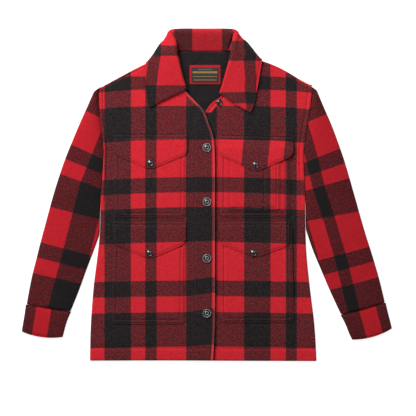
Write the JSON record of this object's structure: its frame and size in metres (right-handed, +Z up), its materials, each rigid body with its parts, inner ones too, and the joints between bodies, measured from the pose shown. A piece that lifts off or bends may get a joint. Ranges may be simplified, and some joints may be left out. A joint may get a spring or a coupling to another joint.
{
  "type": "mackinaw jacket",
  "caption": "Wool mackinaw jacket in red and black buffalo plaid, laid flat with its front up: pointed collar, button placket, flapped patch pockets and set-in cuffed sleeves.",
  "frame": {"origin": "middle of the bounding box's underside, on the surface that the jacket lies on", "axes": "+X across the jacket towards the wearer's left sleeve, +Y from the hem to the collar, +Z up through the front"},
  "size_m": [0.8504, 0.7638, 0.0272],
  "materials": {
    "plaid_wool": "brushed wool cloth in a red and black buffalo plaid",
    "lining_cloth": "black twill lining",
    "label_patch": "red felt backing with a stitched edge",
    "label_cloth": "black woven label with plain gold rules",
    "button_black": "polished black with a raised rim",
    "seam_thread": "dark red sewing thread"
  },
  "bodies": {
    "root": {"back": "plaid_wool", "right_front": "plaid_wool", "left_front": "plaid_wool", "right_sleeve": "plaid_wool", "left_sleeve": "plaid_wool", "right_cuff": "plaid_wool", "left_cuff": "plaid_wool", "collar": "plaid_wool", "right_chest_pocket": "plaid_wool", "left_chest_pocket": "plaid_wool", "right_hip_pocket": "plaid_wool", "left_hip_pocket": "plaid_wool", "pen_pocket": "plaid_wool", "right_chest_flap": "plaid_wool", "left_chest_flap": "plaid_wool", "right_hip_flap": "plaid_wool", "left_hip_flap": "plaid_wool", "neck_lining": "lining_cloth", "label_patch": "label_patch", "label": "label_cloth", "front_button_1": "button_black", "front_button_2": "button_black", "front_button_3": "button_black", "front_button_4": "button_black", "collar_button": "button_black", "right_chest_flap_button": "button_black", "left_chest_flap_button": "button_black", "right_hip_flap_button": "button_black", "left_hip_flap_button": "button_black"}
  },
  "joints": []
}
